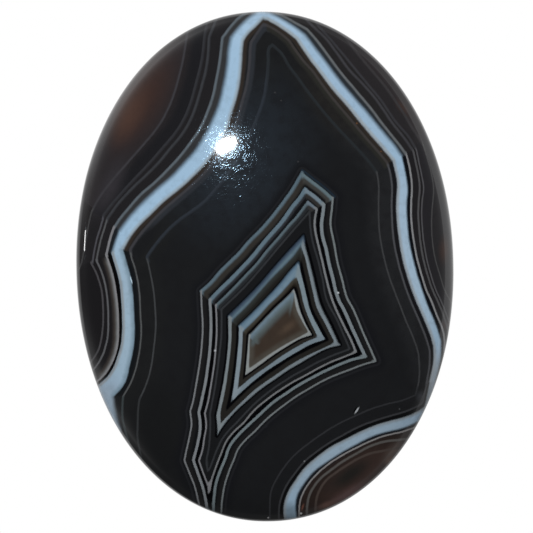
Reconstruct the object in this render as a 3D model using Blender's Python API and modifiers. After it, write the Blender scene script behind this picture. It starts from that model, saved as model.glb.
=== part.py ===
"""An oval agate cabochon: one polished stone with a domed face, a low upright girdle and a flat back.

The stone lies on its flat back. X runs across it, Y along it and Z up through the dome. The origin is
the middle of the back, on the surface that it rests on. Sizes are in metres.
"""

import math

import bpy

# Driving dimensions of the stone
LENGTH = 0.0400
WIDTH = 0.0296
HEIGHT = 0.0066
GIRDLE_HEIGHT = 0.0016
BACK_BEVEL = 0.0004

# An exponent of 2 is a plain ellipse: the outline is a little fuller at its four shoulders
OUTLINE_POWER = 2.075
DOME_POWER = 2.0

# How finely the polished surface is faceted
STEPS_AROUND = 128
DOME_RINGS = 24

# Points of the turned shape closer than this are one point
MERGE_DISTANCE = 0.000001

# Only the edges of the flat back and of the girdle's foot turn more sharply than this
SHARP_ANGLE = math.radians(30)

STONE_COLOUR = (0.012, 0.013, 0.015, 1.0)
STONE_ROUGHNESS = 0.06


def clear_scene():
    for old in list(bpy.data.objects):
        bpy.data.objects.remove(old)


def dome_height(share):
    """Height of the dome above the girdle, where share is 0 in the middle of the stone and 1 at its rim."""
    dome = HEIGHT - BACK_BEVEL - GIRDLE_HEIGHT
    return dome * (1.0 - share**DOME_POWER) ** (1.0 / DOME_POWER)


def half_section():
    """The stone's section on its +X side, as points from the top of the dome down to the flat back."""
    radius = WIDTH / 2
    girdle_top = BACK_BEVEL + GIRDLE_HEIGHT
    points = []
    for ring in range(DOME_RINGS + 1):
        # Equal turns of the angle put more rings where the dome turns down into the girdle
        share = math.sin(math.pi / 2 * ring / DOME_RINGS)
        points.append((share * radius, 0.0, girdle_top + dome_height(share)))
    points.append((radius, 0.0, BACK_BEVEL))
    points.append((radius - BACK_BEVEL, 0.0, 0.0))
    points.append((0.0, 0.0, 0.0))
    return points


def turned_stone():
    """Turns the half section once round Z, as a lap wheel would, into the mesh of a round stone."""
    points = half_section()
    chain = [(first, first + 1) for first in range(len(points) - 1)]
    section = bpy.data.meshes.new("half_section")
    section.from_pydata(points, chain, [])
    blank = bpy.data.objects.new("half_section", section)
    bpy.context.scene.collection.objects.link(blank)

    lathe = blank.modifiers.new("lathe", "SCREW")
    lathe.axis = "Z"
    lathe.angle = math.tau
    lathe.steps = STEPS_AROUND
    lathe.render_steps = STEPS_AROUND
    lathe.use_merge_vertices = True
    lathe.merge_threshold = MERGE_DISTANCE

    graph = bpy.context.evaluated_depsgraph_get()
    mesh = bpy.data.meshes.new_from_object(blank.evaluated_get(graph))
    bpy.data.objects.remove(blank)
    return mesh


def oval_radius(angle):
    """Distance from the middle of the stone to its outline, along a direction in the XY plane."""
    across = abs(math.cos(angle)) / (WIDTH / 2)
    along = abs(math.sin(angle)) / (LENGTH / 2)
    return (across**OUTLINE_POWER + along**OUTLINE_POWER) ** (-1.0 / OUTLINE_POWER)


def stretch_to_oval(mesh):
    """Moves each point outwards from its circle in the turned shape to the same ring of the oval."""
    for point in mesh.vertices:
        angle = math.atan2(point.co.y, point.co.x)
        stretch = oval_radius(angle) / (WIDTH / 2)
        point.co.x *= stretch
        point.co.y *= stretch


def polished_stone_material():
    material = bpy.data.materials.new("polished_agate")
    material.use_nodes = True
    surface = material.node_tree.nodes["Principled BSDF"]
    surface.inputs["Base Color"].default_value = STONE_COLOUR
    surface.inputs["Roughness"].default_value = STONE_ROUGHNESS
    surface.inputs["Metallic"].default_value = 0.0
    return material


def make_cabochon():
    mesh = turned_stone()
    stretch_to_oval(mesh)
    mesh.name = "cabochon"
    mesh.shade_smooth()
    mesh.set_sharp_from_angle(angle=SHARP_ANGLE)
    mesh.materials.append(polished_stone_material())
    return bpy.data.objects.new("cabochon", mesh)


def main():
    clear_scene()
    collection = bpy.data.collections.new("agate_cabochon")
    bpy.context.scene.collection.children.link(collection)
    collection.objects.link(make_cabochon())


main()
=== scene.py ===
# %% [markdown]
# # A polished agate cabochon
#
# The object is one natural stone: a botswana agate, sawn, domed and polished into an oval with a flat
# back. Everything that makes it beautiful is colour inside the stone, not relief on it: silica grew in a
# hollow layer by layer, and the saw cut through those layers. So this lesson makes one smooth solid, finds
# for each point of its surface how far it lies inside each growth line, and lets the material turn those
# distances into bands.

# %% Load the frame
import math

import bpy
import numpy as np
from mathutils import Matrix, Vector


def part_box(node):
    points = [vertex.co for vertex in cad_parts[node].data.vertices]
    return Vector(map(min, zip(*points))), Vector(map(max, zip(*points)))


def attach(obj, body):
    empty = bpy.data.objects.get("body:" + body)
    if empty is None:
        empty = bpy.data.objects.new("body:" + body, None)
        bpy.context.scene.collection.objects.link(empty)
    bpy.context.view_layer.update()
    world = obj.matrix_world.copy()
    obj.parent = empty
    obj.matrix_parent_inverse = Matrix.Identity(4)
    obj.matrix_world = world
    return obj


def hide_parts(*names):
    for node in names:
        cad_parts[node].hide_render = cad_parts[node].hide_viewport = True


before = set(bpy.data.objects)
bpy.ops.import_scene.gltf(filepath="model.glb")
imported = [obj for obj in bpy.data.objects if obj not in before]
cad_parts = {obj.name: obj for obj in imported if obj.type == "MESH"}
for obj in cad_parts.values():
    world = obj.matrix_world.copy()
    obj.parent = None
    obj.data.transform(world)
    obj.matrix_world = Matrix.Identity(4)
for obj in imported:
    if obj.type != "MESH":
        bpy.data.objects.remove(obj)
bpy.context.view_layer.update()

MILLIMETRES = 1000.0
low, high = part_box("cabochon")
WIDTH, LENGTH, HEIGHT = high - low
print("the solid measures", [round(side * MILLIMETRES, 1) for side in (WIDTH, LENGTH, HEIGHT)], "mm")

# %% [markdown]
# ## Where a pixel of the picture lies on the stone
#
# The stone is seen from straight above, a little turned. Its length is known, so one pixel is a known
# length too, and any point of the picture can be given in metres from the middle of the stone. Positions
# of bands and marks are written as pixels, which can be checked against the picture, and this helper
# turns them into places on the stone.

# %% A helper from pixels to metres
STONE_MIDDLE = (264.9, 266.5)
STONE_WIDTH_IN_PIXELS = 377.3
STONE_TURN = math.radians(-1.22)
PIXEL = WIDTH / STONE_WIDTH_IN_PIXELS


def on_stone(across, down):
    """The place on the stone, in metres, of a point of the picture."""
    right = across - STONE_MIDDLE[0]
    below = down - STONE_MIDDLE[1]
    x = right * math.cos(STONE_TURN) + below * math.sin(STONE_TURN)
    y = right * math.sin(STONE_TURN) - below * math.cos(STONE_TURN)
    return x * PIXEL, y * PIXEL


print(f"one pixel is {PIXEL * MILLIMETRES:.4f} mm of stone")

# %% [markdown]
# ## The growth lines
#
# An agate's bands run in flanks that meet at sharp corners, like the walls of a fortress. Each line is
# drawn once, as flanks: every flank starts at its corner and bends gently until the next one. Where a
# line leaves the stone it simply closes outside it. A photograph laid over the stone would be quicker,
# but drawn lines stay crisp from as near as one likes. The points of a flank are pixels of the picture.

# %% The two edges of the white band that frames the stone
OUTLINES = {}

OUTLINES["white_outer"] = [
    [(260, 8), (247.3, 17.7), (239.3, 25.7)],
    [(230.2, 36.8), (227.7, 50), (226, 68), (223.3, 83), (218.7, 102.7), (210.7, 122.7),
     (203, 137.5), (194.7, 150.5), (183.3, 163.3), (170.7, 176.7), (156.7, 188.7), (142.7, 202),
     (130.7, 214.7)],
    [(118.5, 231), (115, 241)],
    [(111.3, 253), (115, 265), (119, 280), (121.3, 300), (122.2, 318), (122.2, 332), (120.8, 345),
     (118, 355), (112, 370), (104.7, 379)],
    [(80, 398), (70, 500), (150, 590)],
    [(298.5, 590), (297.5, 520), (296.1, 506), (297, 498), (299.5, 491.5), (309.1, 477.4),
     (316, 470), (330, 460.3), (343.3, 451.7), (356.7, 444.5), (370, 437.7), (385, 432.7),
     (400, 429.2), (410, 425.9), (418.3, 422)],
    [(431, 415.5), (435.6, 385.3), (439.1, 370.3), (441.6, 354.3)],
    [(441.6, 341), (434.7, 320), (428, 305), (422.7, 290), (417.7, 275), (413.7, 260), (410.2, 245),
     (408.3, 230), (407.3, 215), (407, 203), (408, 191.3), (407, 179.3), (404.7, 167.3)],
    [(402, 155.5), (393.3, 143.3), (384.7, 133.3), (370, 115.3), (356, 99.3), (340.7, 81.3),
     (329.3, 66), (317.3, 50)],
    [(305.4, 34.3), (296.5, 27.5), (285.2, 20.4), (274.5, 14)],
]

OUTLINES["white_inner"] = [
    [(263.3, 18.7), (255.3, 27), (247.3, 35)],
    [(243.4, 41), (242.5, 50), (241.5, 64), (240, 80.3), (236.3, 99), (232, 112.5), (226, 132),
     (218, 146), (209.3, 159.3), (201.3, 168.7), (192, 178), (178.7, 190), (164.7, 201.3),
     (151, 214.5), (140.3, 225), (131, 236.5)],
    [(123.7, 249.7), (126.7, 260), (130.7, 275), (133.3, 292), (134.8, 315), (135.3, 332),
     (133.7, 350), (130.3, 365), (127, 379), (122.7, 387)],
    [(114.8, 395.8), (114.8, 402), (116.7, 412.7), (119, 422), (121.3, 430)],
    [(118, 450), (110, 520), (150, 590)],
    [(284.5, 590), (284.5, 524), (283.3, 511), (284.7, 500.1), (288.3, 490.5), (294.4, 480.8),
     (303.4, 468.3), (314.5, 458), (330, 446.5), (345, 438.5), (360, 431), (375, 424.8),
     (390, 420.3), (405, 416.3), (415, 412.3)],
    [(424.3, 406.3), (426.7, 395.3), (429.7, 380), (432, 370), (433.3, 360)],
    [(433.2, 346), (430, 335), (424.1, 320), (415.3, 300), (408, 280), (402.3, 260), (398.7, 240),
     (396.5, 220), (395.9, 205), (396.7, 192), (397, 183.5), (394.7, 171.3)],
    [(391.9, 159.8), (377.3, 142.7), (364, 127.3), (348, 107.3), (332, 88.7), (320, 72.7),
     (308, 56.7)],
    [(296.3, 39.1), (283, 29.2), (272.3, 22.5)],
]

print(f"{len(OUTLINES)} growth lines so far")

# %% The grey lines outside the white band
OUTLINES["outer_line_1"] = [
    [(260, 3), (244, 13.5), (238.7, 17), (230.7, 25.7)],
    [(221.7, 37.7), (220.3, 50), (218.3, 66.3), (215.3, 82), (212.3, 96), (206.3, 113.3),
     (199.3, 128.7), (190, 142.7), (178.7, 157.3), (166.7, 170), (154.7, 182), (140.7, 194),
     (129.3, 206.7), (121.3, 216.3)],
    [(113.8, 227), (110.7, 236), (108, 246.7)],
    [(106.2, 254.3), (109, 261.3), (113.3, 276), (116, 290), (118, 308), (118.7, 330), (118.3, 340),
     (116.7, 350), (113.3, 360), (108, 370), (101.3, 378)],
    [(80, 394), (60, 500), (150, 600)],
    [(300, 600), (299.5, 524), (299, 510), (300, 500), (302.9, 492.7), (306.8, 485.4), (315, 475.2),
     (325.3, 465.8), (343.3, 454), (356.7, 447), (370, 440.8), (385, 435.3), (400, 431.9),
     (408.7, 429.3), (413.3, 427.7)],
    [(425, 422), (445, 400), (446, 370), (444.6, 352)],
    [(445, 342), (443, 330), (437, 315), (431, 300), (426.5, 290), (421.7, 275), (417.5, 260),
     (414.5, 245), (412.3, 230), (411.1, 215), (411.2, 203), (411.9, 188), (411, 175.3),
     (408.7, 163.3)],
    [(406, 153.3), (396, 140), (384.7, 126), (372.7, 110), (356, 90), (342, 73.3), (330, 57.3),
     (319.3, 42.7)],
    [(307.8, 29.1), (295.8, 22.4), (285.8, 16.8), (276.5, 12.1)],
]

OUTLINES["outer_line_2"] = [
    [(262, -8), (218, 16), (211.6, 29.3)],
    [(208.4, 37), (206.7, 60.7), (204.7, 72.7), (201.3, 85.3), (197.3, 100), (190.7, 118),
     (182.7, 132.7), (170.7, 147.3), (158.7, 162), (146.7, 174), (134.7, 185.5), (122, 198.5),
     (113.3, 209.3)],
    [(107.3, 218), (104.7, 226.7), (101, 238), (98, 251.3)],
    [(96.3, 259.3), (100.7, 268.7), (104, 278), (106.7, 290), (108.3, 305), (108.8, 320),
     (108.3, 335), (106.3, 345), (103, 355), (97.3, 365)],
    [(75, 388), (55, 500), (150, 610)],
    [(307, 610), (306.8, 520), (306.8, 505.8), (309.4, 493.9), (313.7, 485.9), (321, 477),
     (330, 469.8), (343.3, 460.3), (356.7, 452.6), (370, 445.6), (385, 441), (396.7, 439.7),
     (403.3, 439)],
    [(430, 437), (460, 400), (465, 360), (453, 342)],
    [(447, 325), (444, 315), (437.5, 300), (433, 290), (427.9, 275), (424, 260), (421.2, 245),
     (419.5, 230), (418.5, 215), (419, 202), (420, 188), (418.5, 174), (416, 162)],
    [(413.7, 151), (404.7, 138), (392.7, 122.7), (378, 101.3), (364, 84.7), (349.3, 69.3),
     (336.7, 52), (326.7, 38.7)],
    [(313.3, 26), (300, 13)],
]

OUTLINES["outer_line_3"] = [
    [(262, -18), (212, 8)],
    [(204.2, 34), (201, 60.7), (197.7, 75.3), (194.7, 86.7), (190.7, 101.3), (183.3, 119.3),
     (174, 134), (162.7, 147.3), (150.7, 161.3), (138, 174.7), (122, 192), (112, 203.5)],
    [(103.3, 214.7), (100.7, 225.3), (96.7, 237.3), (94, 250)],
    [(91.7, 262.7), (96.7, 272), (100.5, 283), (102.6, 292), (103.9, 310), (103.2, 330),
     (101.7, 340), (99, 350), (93, 360)],
    [(72, 385), (50, 500), (150, 620)],
    [(315.5, 620), (315.5, 520), (315.6, 505), (316.8, 496.7), (319.9, 488.8), (326, 479.8),
     (335, 472.5), (346.7, 464.7), (358.7, 457.8), (368.7, 453.5), (383.3, 450.5), (400, 447.5)],
    [(430, 446), (470, 410), (475, 360), (456, 342)],
    [(450.5, 325), (447, 315), (440.7, 300), (436.1, 290), (431, 275), (427.1, 260), (424.3, 245),
     (422.5, 230), (421.7, 213), (422.5, 200), (423.7, 189), (422.3, 178), (420, 166.7)],
    [(416.5, 149.5), (408.7, 136.7), (396.7, 122.7), (380, 98.7), (370, 86.7), (356.7, 70.7),
     (344, 55.3), (332, 40.7)],
    [(320, 27.3), (306, 10)],
]

OUTLINES["outer_line_4"] = [
    [(262, -30), (196, 0)],
    [(186.5, 36), (182.7, 61.3), (179.3, 75.3), (175.3, 90), (167.3, 110.7), (156.7, 128.7),
     (141.3, 147.3), (130, 160), (111, 182), (102.7, 192.7), (96.7, 202)],
    [(92.5, 210), (90, 219.3), (87, 235)],
    [(82, 262), (60, 320)],
    [(60, 385), (40, 500), (150, 640), (380, 620)],
    [(480, 480), (485, 380), (465, 330)],
    [(449.5, 299.5), (444.7, 290), (439.7, 275), (435.5, 260), (432.7, 245), (431.5, 228),
     (432, 210), (433.6, 190), (432, 177.3), (428.5, 163)],
    [(422, 142), (412, 127), (402.7, 111.3), (396, 101.3), (384.7, 85.3), (370, 68), (358, 53.3),
     (350, 42.7)],
    [(336, 24), (315, -4)],
]

print(f"{len(OUTLINES)} growth lines so far")

# %% The two faint lines inside the white band
OUTLINES["inner_line_1"] = [
    [(263.6, 23.8), (258, 31.7)],
    [(250.8, 42.7), (250, 50), (248.8, 68.3), (246.3, 85.7), (243.3, 97), (239, 113), (233, 130),
     (224, 147), (214, 161), (204, 173.5), (190, 187), (176, 199), (162.7, 210.7), (149.5, 224),
     (136.7, 239.3)],
    [(130.3, 249.5), (132, 258), (135.7, 270), (139.3, 288), (140.8, 312), (141.7, 332),
     (140.7, 345), (138, 360.5), (134, 375.5), (128.7, 387)],
    [(123.3, 396.3), (122.7, 404), (122.7, 416.7), (124.7, 428), (126.5, 435), (130, 447)],
    [(130, 460), (110, 520), (150, 590)],
    [(279.4, 590), (279.4, 525), (279.5, 507), (281.6, 497.3), (286, 486.5), (294.4, 474),
     (304.7, 461.3), (316.7, 451.3), (330, 442.3), (343.3, 434.7), (360, 426), (375, 420.5),
     (393.3, 415), (410, 409.7)],
    [(422.5, 403.5), (424.7, 393.3), (427.2, 380), (429.5, 364)],
    [(429.7, 350), (426, 338), (418.9, 320), (410.3, 300), (403, 280), (397.5, 260), (393.5, 240),
     (391.9, 220), (391.5, 203), (392, 187), (390, 173.3)],
    [(387.3, 162.7), (380.7, 154.7), (371.3, 144), (361.3, 132.7), (350, 119), (337.3, 104),
     (324.7, 88), (313.3, 72), (301.3, 58.3)],
    [(289.3, 40.7), (275.3, 29.7)],
]

OUTLINES["inner_line_2"] = [
    [(272, 44.3), (268.7, 48.3), (267.8, 63), (266, 81.7), (262.7, 100.3), (256, 119), (247, 140),
     (236.5, 160), (225, 177), (214.5, 190), (203.5, 202), (190, 212), (180, 219), (164.4, 233.6),
     (155, 245)],
    [(146.9, 256.7), (150.4, 271.8), (153.5, 288.4), (155.5, 307.6), (156.1, 326.7), (154.2, 347),
     (150.7, 370), (145.7, 386)],
    [(139.5, 399.6), (138.3, 411), (137.9, 423.3), (137.7, 436.7), (139.3, 448), (141, 458)],
    [(140, 480), (130, 540), (150, 590)],
    [(270, 590), (270, 520), (270, 503), (271.3, 491.3), (276, 480), (284.7, 466.1), (296.1, 453.3),
     (310, 442), (323.3, 432.7), (340, 422.7), (355, 415.7), (370, 409), (385, 404.3), (400, 400.8)],
    [(415.5, 395), (418.7, 380), (419.3, 368)],
    [(418.3, 353.5), (414, 340), (405.5, 320), (397.7, 300), (390.1, 280), (384.5, 260),
     (380.3, 240), (378.5, 220), (378.4, 200), (378.5, 186)],
    [(376.7, 172.5), (370.7, 164), (364, 156), (348, 139), (331.4, 121), (325.3, 114), (310, 94.7),
     (299.3, 79.7), (289.3, 66.3), (281.3, 53)],
]

print(f"{len(OUTLINES)} growth lines so far")

# %% The thin lines round the eye
OUTLINES["eye_line_1"] = [
    [(302, 172), (312, 180), (323.3, 188.7)],
    [(333, 197.7), (332.3, 208), (330.8, 225.3), (334, 241.3), (338, 263.3), (342.7, 280.7),
     (346.7, 296), (354, 310), (361.5, 328), (368.7, 344.3)],
    [(376, 360.8), (363.3, 364.3), (350, 369.3), (336.7, 374.3), (323.3, 380.3), (310, 387.7),
     (296.7, 395.7), (283.3, 405.3), (266.7, 418.7), (254.7, 431), (245.3, 440), (238, 449.3),
     (234, 459.3), (228.7, 472.7), (224.7, 485.3), (222.3, 500), (221, 514)],
    [(212, 540), (201, 512), (198.3, 502), (194.7, 486.7), (189.3, 472.7)],
    [(184.3, 460), (186.7, 448.7), (190, 433.3), (191.5, 424)],
    [(190.1, 410.7), (193.3, 400), (196.3, 383.3), (199, 368), (201.3, 350), (202.7, 331),
     (202, 310)],
    [(201, 291), (210.7, 282), (220, 271.3), (230, 261.3), (240, 251.5), (249.3, 240.7), (260, 230),
     (270, 218.7), (280, 206), (285.3, 198.7), (292, 189.3)],
]

OUTLINES["eye_line_2"] = [
    [(305, 189), (316.7, 197.5)],
    [(324.3, 204.8), (323.3, 214.7), (322.1, 225), (323, 235.3), (326.7, 249.3), (329, 261.3),
     (333, 276.7), (338, 296.7), (344.7, 310), (350.7, 323.3), (357.3, 338)],
    [(366, 356.5), (353.3, 359), (340, 364), (326.7, 370), (313.3, 376.7), (300, 384),
     (286.7, 392.7), (273.3, 402), (261.3, 412.7), (250, 423.3), (236.7, 436.7), (229.3, 447.3),
     (225, 459.3), (220.4, 470.5), (216.3, 483), (214.6, 494), (213.9, 503), (213.5, 512)],
    [(210.5, 560), (207.2, 512), (205.6, 501), (203.4, 490), (199.8, 478.5)],
    [(193.3, 460), (196.7, 446.7), (200, 430), (200.1, 423)],
    [(198.7, 412), (201.3, 401.3), (205, 384), (207.7, 366.7), (209.7, 350), (210.9, 330),
     (210.6, 313)],
    [(210, 300), (220.7, 288.7), (231.3, 278.7), (242.7, 266.7), (252.7, 256), (262, 244.5),
     (272, 232.7), (282, 221.3), (291.3, 208), (300, 197.3)],
]

OUTLINES["eye_line_3"] = [
    [(307.7, 201.7)],
    [(317, 209.3), (315.2, 219), (315.3, 229), (317.7, 241.3), (322.7, 262), (326.7, 279.3),
     (331, 295.3), (336.7, 310), (343.3, 324), (350.7, 338.7)],
    [(356, 351.5), (343.3, 356.7), (330, 362), (316.7, 368.7), (303.3, 376), (290, 383.3),
     (279.5, 390), (266.7, 399.3), (253.3, 410.7), (244.7, 421.3), (234.7, 430.7), (226.7, 440.7),
     (221.3, 452.7), (214.6, 470.5), (212.1, 478.5), (210.8, 484.5)],
    [(209.4, 495.5), (207.7, 484.5), (205.5, 478.5), (202.6, 470.5)],
    [(199, 460.3), (202.3, 450), (204.7, 436), (206.2, 426)],
    [(204.9, 412.7), (208.3, 400), (211.3, 382.7), (214, 366), (215.7, 350), (216.7, 330)],
    [(216, 305), (225.3, 296), (236, 285.3), (247.3, 273.3), (256.7, 263.3), (266.7, 250.7),
     (276, 240), (286.7, 227.3), (297.3, 215.3)],
]

OUTLINES["eye_line_4"] = [
    [(309.7, 211.3), (310.7, 228), (312.7, 241.3), (318.7, 262), (322.7, 279.3), (326.7, 299.3),
     (336.7, 318.7), (344, 335.3)],
    [(350, 349), (326.7, 358), (303.3, 370), (280, 384), (256.7, 402), (238.7, 420.7), (224, 436.7),
     (218, 448), (211.3, 465.3)],
    [(208.3, 472.7), (206.2, 462), (208.7, 446.7), (210, 426.7)],
    [(209.7, 413.3), (214.7, 386.7), (219.3, 353.3), (221, 336.7)],
    [(221.3, 309), (245, 286), (265, 263), (280, 245), (300, 222)],
]

print(f"{len(OUTLINES)} growth lines so far")

# %% The bands of the eye and its core
OUTLINES["eye_band_1_outer"] = [
    [(303.3, 235.2), (307.8, 251.5), (313, 271.3), (316.7, 287.3), (321.7, 305.3), (330, 322)],
    [(340.3, 344.7), (326.7, 348.3), (313.3, 355), (300, 362.7), (286.7, 370.7), (273.3, 380),
     (260, 389.3), (246.7, 400.7), (233.3, 413.3), (222.7, 426)],
    [(216.7, 435.7), (217.2, 426)],
    [(216.3, 415.3), (219.3, 401.3), (223, 382.7), (226, 363.3), (228, 343.3)],
    [(228.1, 316), (243.3, 301.3), (260, 284), (275.3, 266), (288.5, 251.3)],
]

OUTLINES["eye_band_1_inner"] = [
    [(300.8, 244), (304.5, 254.3), (309, 272.7), (313, 290), (317.3, 307.3), (325.3, 322.7)],
    [(335.2, 342.3), (320, 349.3), (306.7, 355.7), (293.3, 362.7), (280, 371.7), (266.7, 380.7),
     (253.3, 390.7), (240, 403.3), (226.7, 416.7)],
    [(221.2, 422.7), (220.8, 413), (224.8, 392.7), (229.2, 363.3), (231.3, 343.3)],
    [(232, 319.3), (246.7, 304.7), (258.7, 291.3), (270, 278.7), (284, 264.7), (293.3, 254.7)],
]

OUTLINES["eye_band_2_outer"] = [
    [(298.3, 262), (303.7, 282), (307, 296.7), (311.3, 312), (318.7, 326.7)],
    [(325.3, 339.2), (312, 343.7), (298.7, 350.7), (285.3, 358.7), (266.7, 370.7), (253.3, 381.3),
     (240, 393)],
    [(231, 402), (234, 382.7), (236.3, 363.3), (238.3, 343.3)],
    [(239, 325.7), (253.3, 312), (266.7, 298), (279.6, 284.3), (289.3, 272)],
]

OUTLINES["eye_band_2_inner"] = [
    [(296.8, 275), (301.3, 290.7), (304.7, 305.3), (310.7, 320.7)],
    [(318.4, 336.3), (305.3, 341.7), (292, 349), (279.6, 356.8), (266.7, 366), (253.3, 375.3)],
    [(238, 388.3), (240, 372), (242, 353.3)],
    [(243.1, 330.3), (256.7, 317.3), (268, 304.7), (279.6, 293.7), (290.7, 281.3)],
]

OUTLINES["core_outer"] = [
    [(294.1, 288), (297, 298), (300.7, 311.3), (306.7, 325.3)],
    [(312.2, 334.9), (300, 338.7), (286.7, 346.3), (273.3, 355), (260, 364.7)],
    [(245, 375.3), (246.1, 362.7), (247.7, 343.3)],
    [(248.3, 334.3), (260, 322), (273.3, 308), (284.7, 297.3)],
]

OUTLINES["core_inner"] = [
    [(293.6, 291), (296, 307.3), (302, 320.7)],
    [(308.5, 331.8), (293.3, 339.7), (279.6, 347.5), (266.7, 356)],
    [(249, 368.2), (249.7, 353.3)],
    [(250.4, 336), (272, 312.5)],
]

print(f"{len(OUTLINES)} growth lines so far")

# %% [markdown]
# ## From flanks to curves
#
# A Bezier curve suits such a line: a smooth point gets automatic handles, which round it, and a corner
# gets vector handles, which leave it sharp. The curves are only construction lines, and are removed
# once the stone has been made.

# %% Draw every line as a closed curve
STEPS_BETWEEN_POINTS = 8


def draw_line(name, flanks):
    """A closed curve through all the points of a line, sharp only where a flank begins."""
    drawing = bpy.data.curves.new(name, "CURVE")
    drawing.dimensions = "3D"
    drawing.resolution_u = STEPS_BETWEEN_POINTS
    line = drawing.splines.new("BEZIER")
    line.use_cyclic_u = True
    knots = [(spot, number == 0) for flank in flanks for number, spot in enumerate(flank)]
    line.bezier_points.add(len(knots) - 1)
    for point, (spot, is_corner) in zip(line.bezier_points, knots):
        point.co = (*on_stone(*spot), 0.0)
        point.handle_left_type = point.handle_right_type = "VECTOR" if is_corner else "AUTO"
    curve = bpy.data.objects.new(name, drawing)
    bpy.context.scene.collection.objects.link(curve)
    return curve


line_curves = {name: draw_line(name, flanks) for name, flanks in OUTLINES.items()}
print(f"{len(line_curves)} growth lines drawn")

# %% [markdown]
# ## Helpers for node trees
#
# Both the shape and the material are node trees. Placing a node, choosing its options and filling its
# inputs is always the same work, so one helper does it: an input gets a plain value, or a wire if the
# value is another node's output. A few more save words for what both trees do often.

# %% Helpers that place nodes
def place(tree, kind, inputs=None, **options):
    """A new node, with its options set and its inputs filled or wired."""
    made = tree.nodes.new(kind)
    for option, value in options.items():
        setattr(made, option, value)
    for name, value in (inputs or {}).items():
        if isinstance(value, bpy.types.NodeSocket):
            tree.links.new(value, made.inputs[name])
        else:
            made.inputs[name].default_value = value
    return made


def maths(tree, operation, *values):
    return place(tree, "ShaderNodeMath", dict(enumerate(values)), operation=operation).outputs[0]


def stretch(tree, value, start, end, to_start=0.0, to_end=1.0, interpolation_type="LINEAR"):
    """Value between start and end becomes to_start to to_end, and stays there beyond them."""
    ends = {"Value": value, "From Min": start, "From Max": end, "To Min": to_start, "To Max": to_end}
    kind = {"interpolation_type": interpolation_type, "clamp": interpolation_type == "LINEAR"}
    return place(tree, "ShaderNodeMapRange", ends, **kind).outputs["Result"]


# %% Helpers that name sockets, store numbers and report
def add_sockets(group, kind, *names, in_out="INPUT"):
    """Named inputs or outputs of a node group, all of one kind."""
    for name in names:
        group.interface.new_socket(name, in_out=in_out, socket_type="NodeSocket" + kind)


def store(tree, geometry, name, value):
    """Writes a number on every point, as an attribute that the material can read."""
    inputs = {"Geometry": geometry, "Name": name, "Value": value}
    kind = {"data_type": "FLOAT", "domain": "POINT"}
    return place(tree, "GeometryNodeStoreNamedAttribute", inputs, **kind).outputs["Geometry"]


def tell(tree, step_made):
    print(f"{step_made}: {len(tree.nodes)} nodes so far")


# %% [markdown]
# ## How far inside a growth line?
#
# For each line, every point of the surface needs one number: its distance to the line, positive inside
# and negative outside. Geometry Proximity gives the distance. A ray shot down onto the filled outline
# tells whether the point is inside. The number is stored as an attribute, in millimetres, and it stays
# exact between points because a distance changes evenly.

# %% A node group that stores the distance to one line
def distance_group():
    group = bpy.data.node_groups.new("distance_inside_line", "GeometryNodeTree")
    add_sockets(group, "Geometry", "Geometry")
    add_sockets(group, "Object", "Line")
    add_sockets(group, "String", "Name")
    add_sockets(group, "Vector", "Place")
    add_sockets(group, "Geometry", "Geometry", in_out="OUTPUT")
    given = place(group, "NodeGroupInput").outputs
    curve = place(group, "GeometryNodeObjectInfo", {"Object": given["Line"]}).outputs["Geometry"]
    edges = place(group, "GeometryNodeCurveToMesh", {"Curve": curve}).outputs["Mesh"]
    to_line = {"Geometry": edges, "Sample Position": given["Place"]}
    nearest = place(group, "GeometryNodeProximity", to_line, target_element="EDGES").outputs

    filled = place(group, "GeometryNodeFillCurve", {"Curve": curve}).outputs["Mesh"]
    above = place(group, "ShaderNodeVectorMath", {0: given["Place"], 1: (0, 0, 1)}, operation="ADD")
    shot_down = {
        "Target Geometry": filled,
        "Source Position": above.outputs[0],
        "Ray Direction": (0, 0, -1),
        "Ray Length": 2.0,
    }
    ray = place(group, "GeometryNodeRaycast", shot_down)
    side = stretch(group, ray.outputs["Is Hit"], 0.0, 1.0, -1.0, 1.0)
    depth = maths(group, "MULTIPLY", nearest["Distance"], side)
    stored = store(group, given["Geometry"], given["Name"], maths(group, "MULTIPLY", depth, MILLIMETRES))
    place(group, "NodeGroupOutput", {"Geometry": stored})
    return group


line_distance = distance_group()
print(f"{line_distance.name} has {len(line_distance.nodes)} nodes")

# %% [markdown]
# ## The stone's shape is a rule
#
# A lapidary grinds the stone against a turning wheel: a flat back, a small bevel so that the rim doesn't
# chip, a low upright girdle that a setting could grip, and a dome. Its outline is an oval that is a touch
# fuller than an ellipse. Modelling it by hand would leave dents in its reflections. Here a flat grid is
# bent into the stone by formula: one side of the grid counts steps round the oval and the other runs
# up the section, from the middle of the back to the top of the dome.

# %% Sizes of the cut, in metres, and how finely the stone is faceted
GIRDLE_HEIGHT = 0.0016
BACK_BEVEL = 0.0004
OVAL_POWER = 2.075
STEPS_AROUND = 448
BACK_RINGS = 22
BEVEL_RINGS = 2
GIRDLE_RINGS = 5
DOME_RINGS = 190
MERGE_DISTANCE = 1e-7
SHARP_ANGLE = math.radians(30)

# Bands lean as they go down into the stone: metres sideways for each metre of depth
BAND_LEAN = (0.5, -0.35)

print(f"the dome rises {(HEIGHT - GIRDLE_HEIGHT - BACK_BEVEL) * MILLIMETRES:.1f} mm above the girdle")

# %% The tree: its inputs
cutting = bpy.data.node_groups.new("cut_cabochon", "GeometryNodeTree")
add_sockets(cutting, "Float", "Width", "Length", "Height", "Girdle Height", "Back Bevel", "Oval Power")
add_sockets(cutting, "Int", "Steps Around", "Back Rings", "Bevel Rings", "Girdle Rings", "Dome Rings")
add_sockets(cutting, "Vector", "Band Lean")
add_sockets(cutting, "Material", "Material")
add_sockets(cutting, "Geometry", "Geometry", in_out="OUTPUT")
given = place(cutting, "NodeGroupInput").outputs
print(f"{cutting.name} has {len(cutting.interface.items_tree)} inputs and outputs")


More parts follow.
